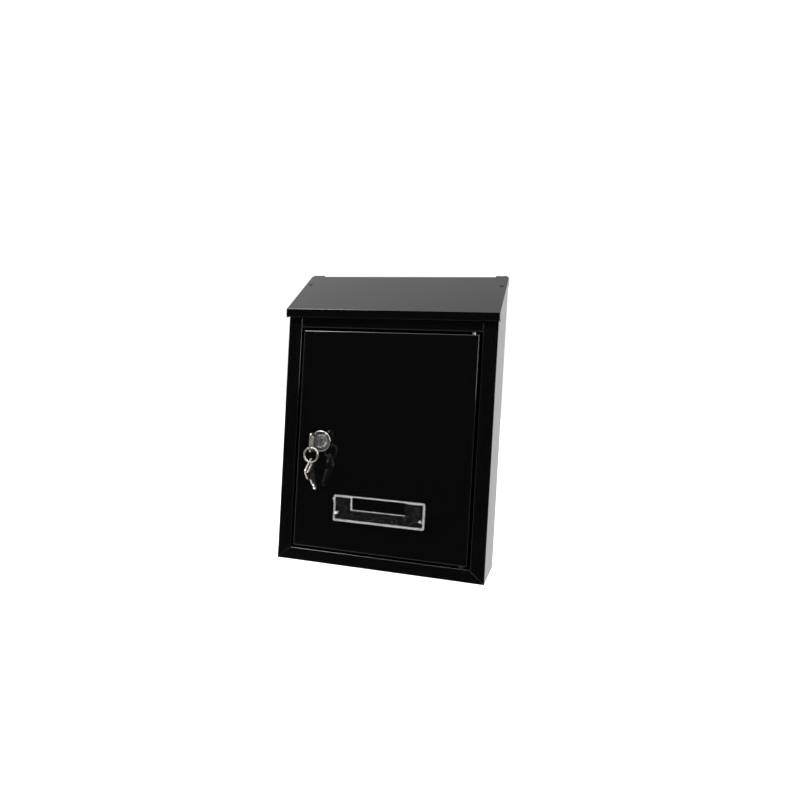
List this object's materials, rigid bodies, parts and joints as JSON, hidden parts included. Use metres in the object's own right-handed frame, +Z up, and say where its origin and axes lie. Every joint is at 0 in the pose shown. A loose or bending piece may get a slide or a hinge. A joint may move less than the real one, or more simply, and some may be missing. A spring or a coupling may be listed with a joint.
{
  "type": "wall mounted mailbox",
  "caption": "Wall mounted steel mailbox with a sloping hinged lid over the letter slot, a side hinged lockable door, a clear card holder, and a key on a ring.",
  "frame": {"origin": "middle of the back panel's rear face, which lies against the wall", "axes": "+Y out of the back into the wall, so the door faces -Y; +Z up; +X to the right of someone facing the door"},
  "size_m": [0.218, 0.1025, 0.3032],
  "materials": {
    "black_enamel": "gloss black powder coat on steel sheet",
    "zinc_steel": "dull zinc plate",
    "chrome": "polished chrome plate",
    "nickel": "nickel plate, lightly scuffed",
    "brass": "stamped brass",
    "black_nylon": "black nylon",
    "clear_plastic": "clear moulded plastic"
  },
  "bodies": {
    "casing": {"casing_wrap": "black_enamel", "header_rail": "black_enamel", "back_panel": "black_enamel", "flap_hinge_fixed_leaf_left": "black_enamel", "flap_hinge_fixed_leaf_right": "black_enamel", "flap_hinge_pin_left": "zinc_steel", "flap_hinge_pin_right": "zinc_steel", "ledge_rivet_left": "zinc_steel", "ledge_rivet_right": "zinc_steel", "door_pivot_pin_upper": "zinc_steel", "door_pivot_pin_lower": "zinc_steel", "door_pivot_washer": "black_nylon"},
    "flap": {"flap_lid": "black_enamel", "flap_hinge_moving_leaf_left": "black_enamel", "flap_hinge_moving_leaf_right": "black_enamel", "flap_rivet_left": "black_enamel", "flap_rivet_right": "black_enamel"},
    "door": {"door_panel": "black_enamel", "nameplate_cover": "clear_plastic", "nameplate_clip_left": "zinc_steel", "nameplate_clip_right": "zinc_steel", "lock_housing": "chrome", "lock_washer": "zinc_steel", "lock_nut": "zinc_steel"},
    "lock_barrel": {"lock_plug": "chrome", "lock_wafer_1": "brass", "lock_wafer_2": "brass", "lock_wafer_3": "brass", "lock_wafer_4": "brass", "lock_cam": "zinc_steel", "cam_washer": "zinc_steel", "cam_screw": "zinc_steel"},
    "key": {"key_in_lock": "nickel"},
    "ring": {"key_ring": "nickel"},
    "spare": {"spare_key": "nickel"}
  },
  "joints": [
    {"name": "flap_lift", "type": "hinge", "parent": "casing", "child": "flap", "pos_m": [0, -0.0075, 0.1506], "axis": [-1, 0, 0], "range_deg": [0, 110]},
    {"name": "door_swing", "type": "hinge", "parent": "casing", "child": "door", "pos_m": [0.0842, -0.0598, 0], "axis": [0, 0, 1], "range_deg": [0, 120]},
    {"name": "lock_turn", "type": "hinge", "parent": "door", "child": "lock_barrel", "pos_m": [-0.0645, -0.068, -0.0257], "axis": [0, 1, 0], "range_deg": [0, 90]},
    {"name": "key_withdraw", "type": "slide", "parent": "lock_barrel", "child": "key", "axis": [0, -1, 0], "range_m": [0, 0.01]},
    {"name": "ring_hang", "type": "hinge", "parent": "key", "child": "ring", "pos_m": [-0.0645, -0.0902, -0.0334], "axis": [0, 1, 0], "range_deg": [-90, 0]},
    {"name": "spare_key_swing", "type": "hinge", "parent": "ring", "child": "spare", "pos_m": [-0.0645, -0.0902, -0.0449], "axis": [1, 0, 0], "range_deg": [-50, 5]}
  ],
  "couplings": [
    {"joint": "ring_hang", "follows": "lock_turn", "ratio": -1}
  ]
}
